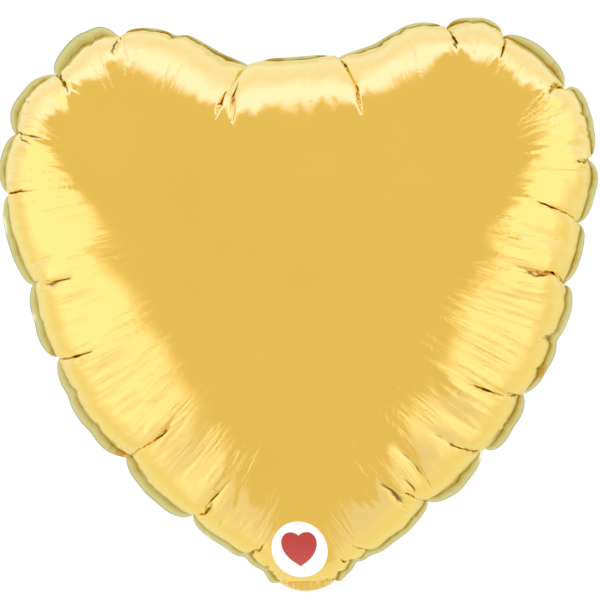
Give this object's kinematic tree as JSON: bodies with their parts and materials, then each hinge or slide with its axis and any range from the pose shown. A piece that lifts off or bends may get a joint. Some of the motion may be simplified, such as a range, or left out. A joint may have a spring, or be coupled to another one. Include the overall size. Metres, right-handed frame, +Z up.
{
  "type": "foil balloon",
  "caption": "Inflated heart-shaped foil balloon with a puckered welded seam, a short inflation tail folded up behind it and a self-sealing film valve inside the neck.",
  "frame": {"origin": "the middle of the neck's lower edge, where the tail folds and where a ribbon is tied, so the mount neck_tie", "axes": "+Z up, from the neck to the notch between the lobes; -Y out of the front panel; +X along the width, to the right seen from the front"},
  "size_m": [0.3618, 0.202, 0.3447],
  "materials": {
    "gold_foil": "glossy gold-lacquered metallised plastic film, satin mirror with fine wrinkles at the seam",
    "valve_film": "thin clear polyethylene film, slightly hazy"
  },
  "bodies": {
    "balloon": {"front_panel": "gold_foil", "back_panel": "gold_foil"},
    "tail": {"front_tail": "gold_foil", "back_tail": "gold_foil", "front_valve_root": "valve_film", "back_valve_root": "valve_film"},
    "front_valve": {"front_valve_leaf": "valve_film"},
    "back_valve": {"back_valve_leaf": "valve_film"}
  },
  "joints": [
    {"name": "tail_fold", "type": "hinge", "parent": "balloon", "child": "tail", "pos_m": [0, 0, -0.0026], "axis": [-1, 0, 0], "range_deg": [0, 175]},
    {"name": "front_valve_opening", "type": "hinge", "parent": "balloon", "child": "front_valve", "pos_m": [0, -0.00015, 0.0015], "axis": [1, 0, 0], "range_deg": [0, 5], "stiffness_Nm_per_rad": 0.005},
    {"name": "back_valve_opening", "type": "hinge", "parent": "balloon", "child": "back_valve", "pos_m": [0, 0.00015, 0.0015], "axis": [-1, 0, 0], "range_deg": [0, 5], "stiffness_Nm_per_rad": 0.005}
  ],
  "couplings": [
    {"joint": "back_valve_opening", "follows": "front_valve_opening", "ratio": 1}
  ]
}
